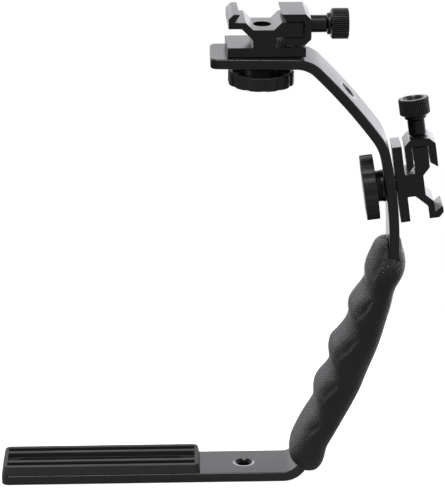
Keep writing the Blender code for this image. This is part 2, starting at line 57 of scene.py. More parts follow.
joints = {joint["name"]: joint for joint in frame["joints"]}
mm = 0.001
weldGap = 0.002
print("frame loaded")


# Small helps for choosing, shaping and finishing a piece
def chooseOnly(piece):
    bpy.ops.object.select_all(action="DESELECT")
    piece.select_set(True)
    bpy.context.view_layer.objects.active = piece


def openPiece(piece):
    chooseOnly(piece)
    bpy.ops.object.mode_set(mode="EDIT")


def closePiece():
    bpy.ops.object.mode_set(mode="OBJECT")


def closeSkin():
    # doubles merged, faces turned outwards, edit mode left
    bpy.ops.mesh.select_all(action="SELECT")
    bpy.ops.mesh.remove_doubles(threshold=weldGap * mm)
    bpy.ops.mesh.normals_make_consistent(inside=False)
    closePiece()


def pickFaces(piece, wanted):
    # wanted gets each face's middle and whether it faces up
    bpy.ops.mesh.select_mode(type="FACE")
    bpy.ops.mesh.select_all(action="DESELECT")
    shape = bmesh.from_edit_mesh(piece.data)
    for face in shape.faces:
        face.select_set(wanted(face.calc_center_median() / mm, face.normal.z > 0.9))
    bmesh.update_edit_mesh(piece.data)


def pickEdges(piece, wanted):
    # wanted gets each edge's two ends
    bpy.ops.mesh.select_mode(type="EDGE")
    bpy.ops.mesh.select_all(action="DESELECT")
    shape = bmesh.from_edit_mesh(piece.data)
    for edge in shape.edges:
        start, end = (corner.co / mm for corner in edge.verts)
        edge.select_set(wanted(start, end))
    bmesh.update_edit_mesh(piece.data)


def pushOut(x, y, z):
    bpy.ops.mesh.extrude_region_move(TRANSFORM_OT_translate={"value": (x * mm, y * mm, z * mm)})


def nameIt(name):
    piece = bpy.context.object
    piece.name = piece.data.name = name
    return piece


def applyPlace():
    bpy.ops.object.transform_apply(location=True, rotation=True, scale=True)


def putAt(piece, place):
    chooseOnly(piece)
    piece.matrix_world = place
    applyPlace()


def copyPiece(piece, name):
    twin = piece.copy()
    twin.data = piece.data.copy()
    twin.name = twin.data.name = name
    bpy.context.scene.collection.objects.link(twin)
    return twin


def useModifier(piece, modifier):
    chooseOnly(piece)
    bpy.ops.object.modifier_apply(modifier=modifier.name)


def softenEdges(piece, width, segments, angle=35):
    bevel = piece.modifiers.new("softEdges", "BEVEL")
    bevel.width = width * mm
    bevel.segments = segments
    bevel.limit_method = "ANGLE"
    bevel.angle_limit = math.radians(angle)
    useModifier(piece, bevel)


def joinWith(piece, other, operation):
    # the other piece is cut away or fused on, and then gone
    join = piece.modifiers.new("joinWith", "BOOLEAN")
    join.operation = operation
    join.solver = "EXACT"
    join.object = other
    useModifier(piece, join)
    bpy.data.objects.remove(other, do_unlink=True)


def smoothIt(piece, angle=32):
    # soft edges stay soft, and the large faces beside them stay flat
    chooseOnly(piece)
    bpy.ops.object.shade_smooth_by_angle(angle=math.radians(angle))
    weighted = piece.modifiers.new("flatFaces", "WEIGHTED_NORMAL")
    weighted.keep_sharp = True
    weighted.weight = 100
    useModifier(piece, weighted)


def shareOf(value, low, high):
    # 0 at low and 1 at high, held in between
    return min(max((value - low) / (high - low), 0), 1)


# Ways to start a piece
def addBox(name, left, right, width, low, high):
    bpy.ops.object.select_all(action="DESELECT")
    bpy.ops.mesh.primitive_cube_add(size=1, location=((left + right) / 2 * mm, 0, (low + high) / 2 * mm))
    box = nameIt(name)
    box.scale = ((right - left) * mm, width * mm, (high - low) * mm)
    applyPlace()
    return box


def roundCorners(box, height, radius, segments):
    # the upright corners of a box that is open in edit mode
    pickEdges(box, lambda start, end: abs(start.z - end.z) > height / 2)
    bpy.ops.mesh.bevel(offset=radius * mm, segments=segments, affect="EDGES")


def turnPiece(name, sides, profile):
    # (height, radius) steps turned round Z: a solid from cap to cap, or a ring where the last step
    # comes back to the first
    ring = profile[0] == profile[-1]
    height, radius = profile[0]
    bpy.ops.object.select_all(action="DESELECT")
    bpy.ops.mesh.primitive_circle_add(vertices=sides, radius=radius * mm, location=(0, 0, height * mm),
                                      fill_type="NOTHING" if ring else "NGON")
    piece = nameIt(name)
    applyPlace()
    openPiece(piece)
    bpy.ops.mesh.select_all(action="SELECT")
    for nextHeight, nextRadius in profile[1:]:
        pushOut(0, 0, nextHeight - height)
        share = nextRadius / radius
        bpy.ops.transform.resize(value=(share, share, 1), center_override=(0, 0, nextHeight * mm))
        height, radius = nextHeight, nextRadius
    closeSkin()
    return piece


def drill(piece, sides, profile, place):
    # cutter turned along Z, then stood at its place
    cutter = turnPiece("cutter", sides, profile)
    putAt(cutter, place)
    joinWith(piece, cutter, "DIFFERENCE")


def threadSteps(low, high, ends, middle, pitch):
    # each turn starts and ends on one radius, with a flat on the other radius in its middle
    shape = ((0.06, ends), (0.44, middle), (0.56, middle), (0.94, ends))
    return [(low + pitch * (turn + share), radius)
            for turn in range(int((high - low) / pitch)) for share, radius in shape]


def screwLine(sizes):
    low, high = sizes["threadReach"]
    threads = threadSteps(low, high, sizes["root"], sizes["crest"], sizes["pitch"])
    return [*sizes["startLine"], *threads, *sizes["endLine"]]


def pressIn(piece, beyond, sinkAt):
    # corners further out than this move towards the axis, by an amount that the angle gives
    for corner in piece.data.vertices:
        reach = math.hypot(corner.co.x, corner.co.y) / mm
        if reach > beyond:
            share = 1 - sinkAt(math.atan2(corner.co.y, corner.co.x)) / reach
            corner.co.x *= share
            corner.co.y *= share


def drawOutline(name, points, depth):
    # outline walked corner by corner in the XZ plane, filled, then given its depth
    x, z = points[0]
    bpy.ops.object.select_all(action="DESELECT")
    bpy.ops.mesh.primitive_plane_add(size=mm, location=(x * mm, -depth / 2 * mm, z * mm))
    piece = nameIt(name)
    applyPlace()
    openPiece(piece)
    bpy.ops.mesh.select_mode(type="VERT")
    bpy.ops.mesh.select_all(action="SELECT")
    bpy.ops.mesh.merge(type="CENTER")
    for nextX, nextZ in (*points[1:], points[0]):
        pushOut(nextX - x, 0, nextZ - z)
        x, z = nextX, nextZ
    bpy.ops.mesh.select_all(action="SELECT")
    bpy.ops.mesh.remove_doubles(threshold=weldGap * mm)
    bpy.ops.mesh.edge_face_add()
    pushOut(0, depth, 0)
    closeSkin()
    return piece


# The bent bar: each bend is its middle radius, the heading it ends at and its steps
barSize = {
    "width": 22.5, "thick": 4.0, "edge": 0.6, "corner": 2.7, "cornerSteps": 8,
    "baseLeft": -98.2, "baseRight": 15.7,
    "bends": ((8.7, 58.1, 28), (296.6, 75.3, 12), (49.8, 90.0, 10), (183.0, 101.7, 10), (21.0, 125.7, 16),
              (221.0, 134.9, 8), (12.05, 178.8, 24)),
    "topLength": 33.4, "slotWidth": 6.6, "slotLeft": -92.0, "slotRight": -24.0, "slotSteps": 14,
    "sideHole": 133.337, "armHole": 176.6, "topHoleFromTip": 20.0, "boreRadius": 3.475, "boreSides": 48,
    "tapCrest": 3.175, "tapRoot": 2.65, "tapPitch": 0.508, "sink": 0.5, "dishRadius": 4.475,
    "dishDepth": 0.09,
}
baseEnd = Vector((barSize["baseRight"], 0, barSize["thick"] / 2))


def inwardAt(heading):
    # straight out of the bar's inner face
    return Vector((-math.sin(heading), 0, math.cos(heading)))


def barSpot(station):
    # middle of the bar and its heading, a distance along it from the end of the flat base
    point, heading = baseEnd, 0.0
    for radius, farDegrees, _ in barSize["bends"]:
        if station <= 0:
            break
        turn = min(station / radius, math.radians(farDegrees) - heading)
        centre = point + radius * inwardAt(heading)
        heading += turn
        station -= turn * radius
        point = centre - radius * inwardAt(heading)
    return point + station * Vector((math.cos(heading), 0, math.sin(heading))), heading


def barLength():
    heading, length = 0.0, barSize["topLength"]
    for radius, farDegrees, _ in barSize["bends"]:
        length += radius * (math.radians(farDegrees) - heading)
        heading = math.radians(farDegrees)
    return length


def sweepBar(name, width, thick):
    # cross-section drawn at the tip of the base, pushed along it and spun round each bend
    bpy.ops.object.select_all(action="DESELECT")
    bpy.ops.mesh.primitive_plane_add(size=1, rotation=(0, -math.pi / 2, 0),
                                     location=(barSize["baseLeft"] * mm, 0, barSize["thick"] / 2 * mm))
    piece = nameIt(name)
    piece.scale = (thick * mm, width * mm, 1)
    applyPlace()
    openPiece(piece)
    bpy.ops.mesh.select_all(action="SELECT")
    pushOut(barSize["baseRight"] - barSize["baseLeft"], 0, 0)
    point, heading = baseEnd, 0.0
    for radius, farDegrees, steps in barSize["bends"]:
        turn = math.radians(farDegrees) - heading
        centre = point + radius * inwardAt(heading)
        bpy.ops.mesh.spin(steps=steps, angle=turn, center=centre * mm, axis=(0, 1, 0))
        heading += turn
        point = centre - radius * inwardAt(heading)
    pushOut(barSize["topLength"] * math.cos(heading), 0, barSize["topLength"] * math.sin(heading))
    closeSkin()
    return piece


def drillBar(bar, station, profile):
    point, heading = barSpot(station)
    across = Matrix.Translation(point * mm) @ Matrix.Rotation(-heading, 4, "Y")
    drill(bar, barSize["boreSides"], profile, across)


def slotCutter(low, high):
    # box with its upright corners rounded right over
    width = barSize["slotWidth"]
    cutter = addBox("slotCutter", barSize["slotLeft"], barSize["slotRight"], width, low, high)
    openPiece(cutter)
    roundCorners(cutter, high - low, width / 2 - 0.01, barSize["slotSteps"])
    closePiece()
    return cutter


def makeBar():
    bar = sweepBar("bentBar", barSize["width"], barSize["thick"])
    tip, near = barSpot(barLength())[0], 0.1
    openPiece(bar)
    # only the short edges through the thickness, at both ends
    pickEdges(bar, lambda start, end: (start - end).length < barSize["thick"] + near
              and abs(start.y - end.y) < near
              and (max(start.x, end.x) < barSize["baseLeft"] + near
                   or max((start - tip).length, (end - tip).length) < barSize["width"]))
    bpy.ops.mesh.bevel(offset=barSize["corner"] * mm, segments=barSize["cornerSteps"], affect="EDGES")
    closePiece()
    softenEdges(bar, barSize["edge"], segments=3, angle=50)

    # tapped holes are sunk at both mouths, inside a shallow dish
    half, over = barSize["thick"] / 2, 1.0
    crest, sink, dish = barSize["tapCrest"], barSize["sink"], barSize["dishRadius"]
    mouth = half - barSize["dishDepth"]
    lip = [(mouth - sink, crest), (mouth, crest + sink), (half, dish), (half + over, dish)]
    threads = threadSteps(sink - mouth, mouth - sink, crest, barSize["tapRoot"], barSize["tapPitch"])
    tapped = [(-height, radius) for height, radius in reversed(lip)] + threads + lip
    plain = [(-half - over, barSize["boreRadius"]), (half + over, barSize["boreRadius"])]
    drillBar(bar, -barSize["baseRight"], tapped)
    drillBar(bar, barSize["armHole"], tapped)
    drillBar(bar, barSize["sideHole"], plain)
    drillBar(bar, barLength() - barSize["topHoleFromTip"], plain)
    joinWith(bar, slotCutter(-over, barSize["thick"] + over), "DIFFERENCE")
    smoothIt(bar)
    return bar


bar = makeBar()
print("bar bent, drilled and slotted")


# The ribbed pad on the base
padSize = {
    "left": -98.0, "right": -17.8, "low": 4.06, "height": 3.64, "footWidth": 22.3, "topWidth": 20.9,
    "corner": 2.3, "cornerSteps": 8, "endRim": 2.2, "sideRim": 2.0, "rib": 2.0, "midGroove": 7.0,
    "grooveDepth": 2.2, "edge": 0.28,
}


def makePad():
    left, right, low = padSize["left"], padSize["right"], padSize["low"]
    length, high = right - left, low + padSize["height"]
    draft = padSize["footWidth"] - padSize["topWidth"]
    pad = addBox("ribbedPad", left, right, padSize["footWidth"], low, high)
    openPiece(pad)
    pickFaces(pad, lambda centre, facesUp: facesUp)
    bpy.ops.transform.resize(value=(1 - draft / length, 1 - draft / padSize["footWidth"], 1),
                             center_override=((left + right) / 2 * mm, 0, high * mm))
    roundCorners(pad, padSize["height"], padSize["corner"], padSize["cornerSteps"])

    # the lines of the rims and ribs, then the floors between them pushed down
    leftEdge, rightEdge = left + padSize["endRim"], right - padSize["endRim"]
    outer = padSize["topWidth"] / 2 - padSize["sideRim"]
    middle = padSize["midGroove"] / 2
    inner = middle + padSize["rib"]
    for x in (leftEdge, rightEdge):
        bpy.ops.mesh.select_all(action="SELECT")
        bpy.ops.mesh.bisect(plane_co=(x * mm, 0, 0), plane_no=(1, 0, 0))
    for y in (-outer, -inner, -middle, middle, inner, outer):
        bpy.ops.mesh.select_all(action="SELECT")
        bpy.ops.mesh.bisect(plane_co=(0, y * mm, 0), plane_no=(0, 1, 0))
    pickFaces(pad, lambda centre, facesUp: facesUp and leftEdge < centre.x < rightEdge
              and (abs(centre.y) < middle or inner < abs(centre.y) < outer))
    pushOut(0, 0, -padSize["grooveDepth"])
    closePiece()
    softenEdges(pad, padSize["edge"], segments=3, angle=50)
    joinWith(pad, slotCutter(low - 1, high + 1), "DIFFERENCE")
    smoothIt(pad)
    return pad


pad = makePad()
print("pad ribbed")


# The moulded hand grip. Lines are (distance along the bar, reach from its middle), the depth line is a
# share of the depth, and each crease is how deep it sinks and its line
gripSize = {
    "start": 7.5, "end": 110.4, "depth": 31.85, "rings": 110, "sides": 116, "squareness": 2.9, "gap": 0.3,
    "endSteps": (0.25, 0.6, 1.1), "sectionSteps": 360, "pathSteps": 400,
    "fingerLine": ((7.5, 3.5), (8.0, 4.6), (9.0, 5.6), (10.6, 6.3), (12.7, 7.1), (16.6, 7.6), (23.2, 7.9),
                   (27.5, 7.75), (31.0, 7.4), (33.5, 7.7), (36.8, 9.3), (39.5, 10.3), (43.3, 10.3),
                   (47.8, 9.0), (50.3, 8.6), (53.0, 9.5), (56.2, 11.3), (58.8, 11.95), (60.6, 12.0),
                   (64.5, 10.5), (69.0, 9.1), (72.2, 8.8), (74.7, 9.4), (76.7, 10.3), (79.3, 10.6),
                   (83.2, 9.5), (87.0, 8.1), (89.7, 7.5), (94.4, 8.7), (99.1, 8.7), (103.6, 8.0),
                   (107.8, 7.0), (109.4, 5.9), (110.1, 4.9), (110.4, 3.9)),
    "palmLine": ((7.5, 3.2), (8.0, 4.6), (9.0, 6.0), (10.4, 7.0), (12.4, 7.4), (14.7, 7.2), (18.1, 6.2),
                 (20.9, 5.3), (26.3, 5.15), (33.6, 5.15), (40.2, 5.5), (48.1, 5.6), (55.3, 5.35),
                 (66.6, 5.3), (78.5, 4.8), (86.4, 4.3), (91.5, 3.85), (94.5, 4.1), (99.0, 5.4),
                 (102.0, 5.7), (104.6, 5.2), (107.5, 3.9), (109.4, 3.5), (110.4, 3.1)),
    "depthLine": ((7.5, 0.52), (8.2, 0.63), (9.1, 0.722), (10.4, 0.80), (12.4, 0.87), (16.0, 0.94),
                  (40.0, 1.0), (80.0, 1.0), (96.0, 0.985), (100.0, 0.95), (103.0, 0.875), (104.8, 0.80),
                  (106.2, 0.722), (108.0, 0.61), (109.4, 0.49), (110.4, 0.34)),
    "creases": ((1.2, ((105.0, 4.2), (102.0, 4.9), (98.5, 5.7), (95.5, 6.1))),
                (2.3, ((88.0, 4.0), (85.5, 4.5), (82.6, 5.2), (80.7, 6.0), (77.4, 7.4))),
                (2.4, ((69.5, 4.6), (67.0, 5.3), (63.9, 6.1), (62.0, 7.2), (58.4, 8.6))),
                (2.0, ((49.0, 4.0), (46.5, 4.9), (44.0, 5.7), (40.0, 6.9))),
                (1.6, ((30.0, 2.9), (27.5, 3.5), (25.0, 4.2), (22.4, 4.8)))),
    "creaseWall": 0.7, "scoopFade": 3.2, "leastEnd": 0.02, "endPower": 0.6, "scoopFrom": 7, "scoopFull": 12,
}


def onLine(line, place):
    # height of a smooth line at a place, by the slopes on both sides of its span
    for index in range(len(line) - 1):
        (start, first), (end, last) = line[index], line[index + 1]
        if place <= end:
            before, after = line[max(index - 1, 0)], line[min(index + 2, len(line) - 1)]
            slopeIn = (last - before[1]) / (end - before[0])
            slopeOut = (after[1] - first) / (after[0] - start)
            span = end - start
            share = (place - start) / span
            square, cube = share * share, share * share * share
            return ((2 * cube - 3 * square + 1) * first + (cube - 2 * square + share) * span * slopeIn
                    + (3 * square - 2 * cube) * last + (cube - square) * span * slopeOut)
    return line[-1][1]


def gripSection(station):
    # rounded oblong round the bar as even steps of (reach, depth)
    finger, palm = onLine(gripSize["fingerLine"], station), onLine(gripSize["palmLine"], station)
    halfDepth = gripSize["depth"] / 2 * onLine(gripSize["depthLine"], station)
    power, steps = 2 / gripSize["squareness"], gripSize["sectionSteps"]
    fine = []
    for step in range(steps):
        angle = 2 * math.pi * step / steps
        out = math.copysign(abs(math.cos(angle)) ** power, math.cos(angle))
        across = math.copysign(abs(math.sin(angle)) ** power, math.sin(angle))
        fine.append(Vector(((finger - palm) / 2 + out * (finger + palm) / 2, across * halfDepth)))
    lengths = [0.0]
    for here, ahead in zip(fine, fine[1:] + fine[:1]):
        lengths.append(lengths[-1] + (ahead - here).length)
    section, mark = [], 0
    for step in range(gripSize["sides"]):
        goal = lengths[-1] * step / gripSize["sides"]
        while lengths[mark + 1] < goal:
            mark += 1
        share = (goal - lengths[mark]) / (lengths[mark + 1] - lengths[mark])
        section.append(fine[mark].lerp(fine[(mark + 1) % steps], share))
    return section


def gripRing(station):
    point, heading = barSpot(station)
    inward = inwardAt(heading)
    return [(point + reach * inward + Vector((0, across, 0))) * mm
            for reach, across in gripSection(station)]


def creaseSink(station, reach):
    # how far the face sinks beside the nearest crease: a short wall on one side, a long scoop on the other
    deepest = 0.0
    for depth, crease in gripSize["creases"]:
        spots = [Vector(spot) for spot in crease]
        total = sum((ahead - back).length for back, ahead in zip(spots, spots[1:]))
        run, best = 0.0, None
        here = Vector((station, reach))
        for back, ahead in zip(spots, spots[1:]):
            along = ahead - back
            share = shareOf((here - back).dot(along), 0, along.length_squared)
            gap = here - (back + share * along)
            if best is None or gap.length < best[0]:
                side = along.x * gap.y - along.y * gap.x
                best = (gap.length, -math.copysign(1, side), (run + share * along.length) / total)
            run += along.length
        distance, side, place = best
        if side < 0:
            continue
        wall = shareOf(distance, 0, gripSize["creaseWall"])
        fade = math.exp(-(distance / gripSize["scoopFade"]) ** 2)
        place = min(max(place, gripSize["leastEnd"]), 1 - gripSize["leastEnd"])
        ends = math.sin(math.pi * place) ** gripSize["endPower"]
        deepest = max(deepest, depth * wall * wall * (3 - 2 * wall) * fade * ends)
    return deepest


def makeGrip():
    # first ring drawn round the bar, then pushed on ring by ring, closer together at both ends
    start, end, rings = gripSize["start"], gripSize["end"], gripSize["rings"]
    span = end - start
    stations = [start + span * step / rings for step in range(rings + 1)]
    stations += [start + step for step in gripSize["endSteps"]]
    stations += [end - step for step in gripSize["endSteps"]]
    stations.sort()
    bpy.ops.object.select_all(action="DESELECT")
    bpy.ops.mesh.primitive_circle_add(vertices=gripSize["sides"], radius=gripSize["depth"] / 2 * mm,
                                      fill_type="NGON")
    grip = nameIt("mouldedGrip")
    openPiece(grip)
    bpy.ops.mesh.select_all(action="SELECT")
    for station in stations:
        if station > stations[0]:
            pushOut(0, 0, 1)
        shape = bmesh.from_edit_mesh(grip.data)
        corners = [corner for corner in shape.verts if corner.select]
        corners.sort(key=lambda corner: corner.index)
        for corner, spot in zip(corners, gripRing(station)):
            corner.co = spot
        bmesh.update_edit_mesh(grip.data)
    bpy.ops.mesh.select_all(action="SELECT")
    bpy.ops.mesh.normals_make_consistent(inside=False)
    closePiece()
    smoother = grip.modifiers.new("smoother", "SUBSURF")
    smoother.levels = smoother.render_levels = 1
    useModifier(grip, smoother)

    # finger scoops pressed into the front and back faces
    path = []
    for step in range(gripSize["pathSteps"] + 1):
        station = start + span * step / gripSize["pathSteps"]
        path.append((station, *barSpot(station)))
    for corner in grip.data.vertices:
        spot = corner.co / mm
        station, point, heading = min(path, key=lambda entry: (entry[1].x - spot.x) ** 2
                                      + (entry[1].z - spot.z) ** 2)
        reach = (spot.z - point.z) * math.cos(heading) - (spot.x - point.x) * math.sin(heading)
        outside = shareOf(abs(spot.y), gripSize["scoopFrom"], gripSize["scoopFull"])
        corner.co.y -= math.copysign(creaseSink(station, reach) * outside * mm, corner.co.y)
    gap = 2 * gripSize["gap"]
    joinWith(grip, sweepBar("passage", barSize["width"] + gap, barSize["thick"] + gap), "DIFFERENCE")
    smoothIt(grip, angle=50)
    return grip


grip = makeGrip()
print("grip moulded")


# Accessory shoe, in its own frame: X towards the knob, Z out of the bar, from the mounting screw's axis
shoeSize = {
    "depth": 18.0, "edge": 0.28, "clampHeight": 11.25, "stemBore": 3.475, "stemReach": (-1, 14),
    "clampBore": 2.3, "blockReach": (7.0, 16.3), "jawReach": (14.6, 19.5),
    "bodyLine": ((-13.8, 0.3), (16.6, 0.3), (16.6, 4.1), (5.0, 4.1), (5.0, 8.3), (15.3, 8.3), (15.3, 14.2),
                 (6.9, 14.2), (3.95, 11.25), (-3.95, 11.25), (-6.9, 14.2), (-11.2, 14.2), (-9.3, 17.1),
                 (-9.3, 17.5), (-11.7, 17.5), (-13.6, 15.6), (-13.6, 11.65), (-8.5, 11.65), (-4.0, 7.15),
                 (-4.0, 4.1), (-13.8, 4.1)),
    "jawLine": ((6.9, 17.5), (16.2, 17.5), (18.5, 15.2), (18.5, 7.45), (16.2, 5.15), (5.85, 5.15),
                (5.85, 5.8), (8.05, 8.0), (15.6, 8.0), (15.6, 14.5), (8.8, 14.5), (6.9, 17.1)),
}
straight = Matrix.Identity(4)
alongPlate = Matrix.Translation((0, 0, shoeSize["clampHeight"] * mm)) @ Matrix.Rotation(math.pi / 2, 4, "Y")
intoHand = Matrix.Rotation(math.pi, 4, "X")


def makeShoePart(name, outline, bores):
    # outline with soft edges and its bores, each as its sides, reach, radius and direction
    part = drawOutline(name, outline, shoeSize["depth"])
    softenEdges(part, shoeSize["edge"], segments=2)
    for sides, reach, radius, place in bores:
        drill(part, sides, [(height, radius) for height in reach], place)
    smoothIt(part)
    return part


def makeShoeBody():
    return makeShoePart("shoeBody", shoeSize["bodyLine"], (
        (48, shoeSize["stemReach"], shoeSize["stemBore"], straight),
        (36, shoeSize["blockReach"], shoeSize["clampBore"], alongPlate)))


def makeJaw():
    return makeShoePart("clampJaw", shoeSize["jawLine"], (
        (36, shoeSize["jawReach"], shoeSize["clampBore"], alongPlate),))


# Sleeve and washers: plain rings with both outer edges broken
sleeveSize = {"sides": 64, "start": 18.8, "length": 6.2, "radius": 3.45, "bore": 2.3, "rim": 0.3}
thrustSize = {"sides": 64, "start": 25.3, "length": 1.2, "radius": 4.3, "bore": 2.3, "rim": 0.2}
washerSize = {"sides": 72, "start": 4.08, "length": 1.42, "radius": 6.35, "bore": 3.475, "rim": 0.18}


def makeRing(name, sizes, place):
    start, end = sizes["start"], sizes["start"] + sizes["length"]
    bore, radius, rim = sizes["bore"], sizes["radius"], sizes["rim"]
    profile = ((start, bore), (start, radius - rim), (start + rim, radius), (end - rim, radius),
               (end, radius - rim), (end, bore), (start, bore))
    ring = turnPiece(name, sizes["sides"], profile)
    putAt(ring, place)
    smoothIt(ring)
    return ring


def makeSleeve():
    return makeRing("jawSleeve", sleeveSize, alongPlate)


def makeThrust():
    return makeRing("thrustWasher", thrustSize, alongPlate)


def makeMountWasher():
    return makeRing("mountWasher", washerSize, intoHand)


# Knurled knob. Lines here and below are (height, radius) steps
knobSize = {
    "socketLine": ((31.3, 2.3), (26.8, 2.3), (26.8, 5.3), (27.3, 6.0)),
    "end": 33.5, "radius": 6.0, "round": 0.45, "roundSteps": 4,
    "dishLine": ((33.5, 4.45), (33.25, 4.2), (32.2, 3.8), (32.2, 0.4)),
    "ridges": 46, "ridgeSides": 6, "ridgeDepth": 0.42, "ridgeFrom": 5.4, "crestShare": 0.25,
}


def knobGroove(angle):
    crest = knobSize["crestShare"]
    return knobSize["ridgeDepth"] * max(crest - math.cos(angle * knobSize["ridges"]), 0) / (1 + crest)


def makeKnob():
    rounding = knobSize["round"]
    end, radius = knobSize["end"] - rounding, knobSize["radius"] - rounding
    profile = list(knobSize["socketLine"])
    for step in range(knobSize["roundSteps"] + 1):
        angle = math.pi / 2 * step / knobSize["roundSteps"]
        profile.append((end + rounding * math.sin(angle), radius + rounding * math.cos(angle)))
    profile += knobSize["dishLine"]
    knob = turnPiece("knurledKnob", knobSize["ridges"] * knobSize["ridgeSides"], profile)
    pressIn(knob, knobSize["ridgeFrom"], knobGroove)
    putAt(knob, alongPlate)
    smoothIt(knob, angle=28)
    return knob


# The knob's screw
clampScrewSize = {
    "startLine": ((7.3, 1.35), (7.7, 1.65)), "threadReach": (7.9, 30.6), "root": 1.65, "crest": 2.0,
    "pitch": 0.7, "endLine": ((30.7, 1.65), (31.0, 1.35)), "sides": 40,
}


def makeClampScrew():
    screw = turnPiece("clampScrew", clampScrewSize["sides"], screwLine(clampScrewSize))
    putAt(screw, alongPlate)
    smoothIt(screw)
    return screw


# Fluted wheel on the bar's inner face: hub, cup, rim and the flat outer side with its hollow ring
wheelSize = {
    "line": ((5.56, 3.475), (5.56, 5.95), (5.76, 6.15), (7.6, 6.15), (10.6, 7.7), (10.9, 8.0), (10.9, 10.7),
             (10.4, 11.2), (7.45, 11.3), (7.3, 11.45), (7.3, 12.56), (7.38, 12.76), (7.44, 12.82),
             (7.64, 12.9), (12.16, 12.9), (12.36, 12.82), (12.42, 12.76), (12.5, 12.56), (12.5, 10.5),
             (12.2, 10.2), (12.2, 7.55), (12.5, 7.25), (12.5, 3.475), (5.56, 3.475)),
    "sides": 240, "flutes": 12, "fluteDepth": 0.5, "fluteFrom": 11.6, "flutePower": 0.8,
    "pocketReach": (9.2, 13.5), "pocketGap": 0.3, "sideSag": 0.12,
}
# Its screw, with the head's steps as (height, how far inside the hexagon's corner)
hexScrewSize = {
    "startLine": ((-9.2, 2.2), (-8.7, 2.7)), "threadReach": (-8.6, 6.9), "root": 2.6, "crest": 3.175,
    "pitch": 1.27, "endLine": ((7.3, 3.175), (10.0, 3.175)), "sides": 48, "width": 11.1,
    "headLine": ((9.5, 0.25), (9.75, 0.0), (12.2, 0.0), (12.5, 0.5)),
}
hexCorner = hexScrewSize["width"] / math.sqrt(3)


def wheelFlute(angle):
    wave = max(math.cos(angle * wheelSize["flutes"]), 0)
    return wheelSize["fluteDepth"] * wave ** wheelSize["flutePower"]


def makeWheel():
    wheel = turnPiece("flutedWheel", wheelSize["sides"], wheelSize["line"])
    pressIn(wheel, wheelSize["fluteFrom"], wheelFlute)
    pocketRadius = hexCorner + wheelSize["pocketGap"]
    drill(wheel, 6, [(height, pocketRadius) for height in wheelSize["pocketReach"]], straight)
    putAt(wheel, intoHand)
    smoothIt(wheel)
    return wheel


def makeHexScrew():
    screw = turnPiece("hexScrew", hexScrewSize["sides"], screwLine(hexScrewSize))
    headLine = [(height, hexCorner - inset) for height, inset in hexScrewSize["headLine"]]
    joinWith(screw, turnPiece("hexHead", 6, headLine), "UNION")
    putAt(screw, intoHand)
    smoothIt(screw)
    return screw


def shoePlace(prefix):
    # the shoe's own frame, from the joints that the frame brings
    out = Vector(joints[prefix + "_swivel"]["axis"]).normalized()
    along = Vector(joints[prefix + "_jaw_slide"]["axis"])
    along = (along - along.dot(out) * out).normalized()
    place = Matrix((along, out.cross(along), out)).transposed().to_4x4()
    place.translation = Vector(joints[prefix + "_swivel"]["pos_m"])
    return place


# Each piece: how it is made, its CAD node and body, its slot and its finish
shoePieces = (
    (makeShoeBody, "shoe_body", "shoe", "shoe_coat", "shoeCoat"),
    (makeJaw, "clamp_jaw", "jaw", "shoe_coat", "shoeCoat"),
    (makeSleeve, "jaw_spacer", "jaw", "shoe_coat", "shoeCoat"),
    (makeThrust, "thrust_washer", "jaw", "dark_steel", "darkSteel"),
    (makeKnob, "clamp_knob", "clamp", "knob_plastic", "knobPlastic"),
    (makeClampScrew, "clamp_screw", "clamp", "dark_steel", "darkSteel"),
    (makeMountWasher, "mount_washer", "washer", "dark_steel", "darkSteel"),
    (makeWheel, "mount_wheel", "wheel", "knob_plastic", "wheelPlastic"),
    (makeHexScrew, "mount_screw", "wheel", "dark_steel", "darkSteel"),
)
pieces = [(bar, "bracket_bar", "bracket", "bar_coat", "barCoat"),
          (pad, "base_pad", "bracket", "pad_rubber", "padRubber"),
          (grip, "hand_grip", "bracket", "grip_rubber", "gripLeather")]
for makePiece, node, body, slot, finish in shoePieces:
    topPiece = makePiece()
    sidePiece = copyPiece(topPiece, topPiece.name + "Side")
    topPiece.name = topPiece.data.name = topPiece.name + "Top"
    # the side wheel and its washer sit a little further from the bar
    sag = wheelSize["sideSag"] if body in ("washer", "wheel") else 0
    putAt(topPiece, shoePlace("top"))
    putAt(sidePiece, shoePlace("side") @ Matrix.Translation((0, 0, -sag * mm)))
    pieces.append((topPiece, "top_" + node, "top_" + body, slot, finish))
    pieces.append((sidePiece, "side_" + node, "side_" + body, slot, finish))
print("shoes, clamps and wheels made")


